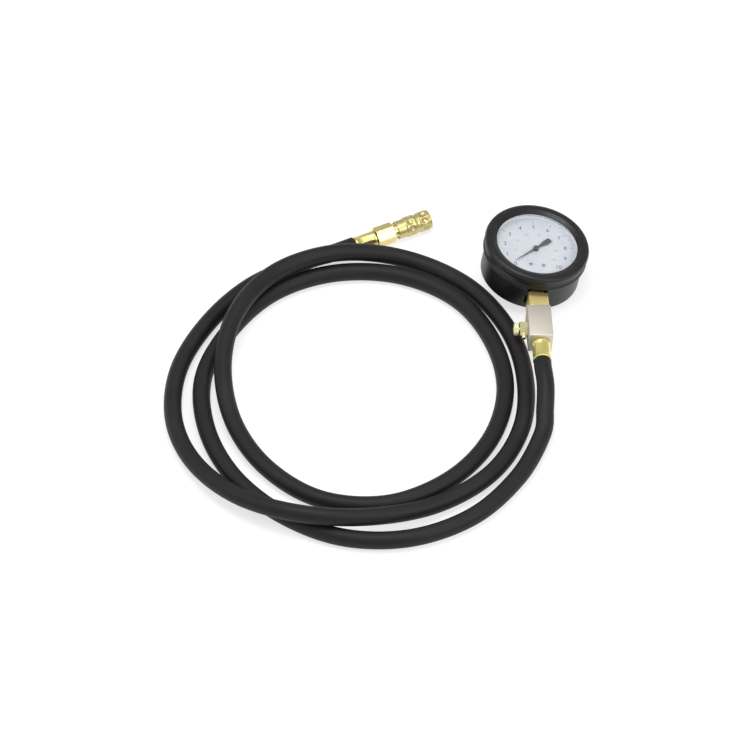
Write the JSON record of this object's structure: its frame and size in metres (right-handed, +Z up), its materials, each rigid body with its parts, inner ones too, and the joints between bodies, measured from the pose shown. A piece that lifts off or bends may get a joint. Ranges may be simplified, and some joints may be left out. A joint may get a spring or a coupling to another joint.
{
  "type": "oil pressure gauge",
  "caption": "Round dial pressure gauge in a rubber boot, with a manifold block, a bleed valve and a long coiled rubber hose ending in a quick coupler.",
  "frame": {"origin": "on the floor, under the middle of the gauge head with its block and ferrule, as the set lies", "axes": "+Z up, the dial faces up; the stem and the start of the hose point to -Y, and the coiled hose lies on the -X side"},
  "size_m": [0.3017, 0.3179, 0.0443],
  "materials": {
    "black_paint": "black",
    "black_steel": "black enamel",
    "brass": "bright turned",
    "bronze": "bright strip",
    "dial_white": "white print",
    "glass": "clear",
    "hose_rubber": "extruded matte",
    "nickel": "satin nickel",
    "rubber": "moulded matte",
    "spring_steel": "drawn wire",
    "steel": "bright",
    "white_plastic": "white moulded"
  },
  "bodies": {
    "gauge": {"rubber_boot": "rubber", "gauge_case": "black_steel", "bezel_ring": "black_steel", "lens": "glass", "lens_gasket": "rubber", "distance_ring": "white_plastic", "dial_plate": "dial_white", "dial_post_1": "brass", "dial_post_2": "brass", "dial_screw_1": "steel", "dial_screw_2": "steel", "stem_socket": "brass", "bourdon_tube": "brass", "tube_tip": "brass", "movement_back_plate": "brass", "movement_front_plate": "brass", "movement_pillar_1": "brass", "movement_pillar_2": "brass", "movement_pillar_3": "brass", "movement_screw_1": "steel", "movement_screw_2": "steel", "hairspring": "bronze", "hairspring_stud": "brass", "case_screw_1": "steel", "case_screw_2": "steel", "relief_plug": "rubber", "manifold_block": "nickel", "bleed_body": "brass", "head_hose_nipple": "brass", "head_ferrule": "brass", "hose": "hose_rubber", "coupler_ferrule": "brass", "coupler_nipple": "brass", "coupler_body": "brass", "sleeve_spring": "spring_steel", "snap_ring": "spring_steel", "locking_ball_1": "steel", "locking_ball_2": "steel", "locking_ball_3": "steel", "locking_ball_4": "steel", "poppet_spring": "spring_steel", "plug_seal": "rubber"},
    "pointer_arbor": {"pointer": "black_paint", "pinion_arbor": "steel"},
    "sector": {"sector_gear": "brass", "sector_arbor": "steel", "tail_pin": "steel"},
    "link": {"tube_link": "brass", "tip_pin": "steel"},
    "thumb_screw": {"bleed_screw": "brass"},
    "sleeve": {"coupler_sleeve": "brass"},
    "valve": {"poppet": "brass"}
  },
  "joints": [
    {"name": "sector_swing", "type": "hinge", "parent": "gauge", "child": "sector", "pos_m": [0.01056, 0.02042, 0.02038], "axis": [0.1785, 0.0268, 0.9836], "range_deg": [0, 45], "stiffness_Nm_per_rad": 0.0005, "springref_deg": -11.46},
    {"name": "pointer_turn", "type": "hinge", "parent": "gauge", "child": "pointer_arbor", "pos_m": [0.00056, 0.03125, 0.03044], "axis": [0.1785, 0.0268, 0.9836], "range_deg": [-270, 0]},
    {"name": "link_turn", "type": "hinge", "parent": "sector", "child": "link", "pos_m": [0.01375, 0.01657, 0.02235], "axis": [0.1785, 0.0268, 0.9836], "range_deg": [-45, 0]},
    {"name": "bleed_screw_turn", "type": "hinge", "parent": "gauge", "child": "thumb_screw", "pos_m": [0.00252, -0.03802, 0.0213], "axis": [-0.9957, -0.054, 0.0759], "range_deg": [0, 360]},
    {"name": "sleeve_slide", "type": "slide", "parent": "gauge", "child": "sleeve", "axis": [-0.8988, -0.4384, 0], "range_m": [0, 0.0025], "stiffness_N_per_m": 1500, "springref_m": -0.003, "deforming": ["sleeve_spring"]},
    {"name": "poppet_slide", "type": "slide", "parent": "gauge", "child": "valve", "axis": [-0.8988, -0.4384, 0], "range_m": [0, 0.002], "stiffness_N_per_m": 600, "springref_m": -0.002, "deforming": ["poppet_spring"]}
  ],
  "couplings": [
    {"joint": "pointer_turn", "follows": "sector_swing", "ratio": -6},
    {"joint": "link_turn", "follows": "sector_swing", "ratio": -1}
  ]
}
